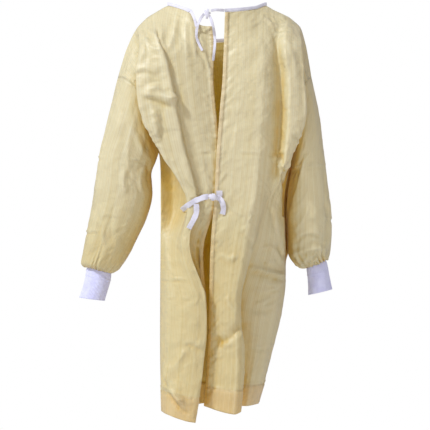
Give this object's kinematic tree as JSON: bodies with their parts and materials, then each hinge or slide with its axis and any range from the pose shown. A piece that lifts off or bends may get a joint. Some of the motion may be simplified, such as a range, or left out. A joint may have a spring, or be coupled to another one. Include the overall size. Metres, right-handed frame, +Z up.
{
  "type": "reusable isolation gown",
  "caption": "Long-sleeved isolation gown hanging open at the back, with knit cuffs, bound neck, neck tie and waist tie.",
  "frame": {"origin": "midway between the two points where the shoulder seams meet the neck, where the wearer carries the gown", "axes": "+Z up, the open back faces -Y, the wearer's right is +X"},
  "size_m": [0.7222, 0.2886, 1.1819],
  "materials": {
    "cloth": "thin woven polyester with a fine pinstripe, slightly glossy and translucent",
    "knit": "ribbed knit, matt",
    "tape": "twill tape, matt"
  },
  "bodies": {
    "root": {"front_panel": "cloth", "back_left": "cloth", "back_right": "cloth", "sleeve_left": "cloth", "sleeve_right": "cloth", "cuff_left": "knit", "cuff_right": "knit", "neck_binding": "tape", "neck_tie_left": "tape", "neck_tie_right": "tape", "neck_tie_knot": "tape", "neck_tie_tail_left": "tape", "neck_tie_tail_right": "tape", "waist_tie_knot": "tape", "waist_tie_patch": "tape", "waist_tie_loop_right": "tape", "waist_tie_tail_left": "tape", "waist_tie_tail_down": "tape"}
  },
  "joints": []
}
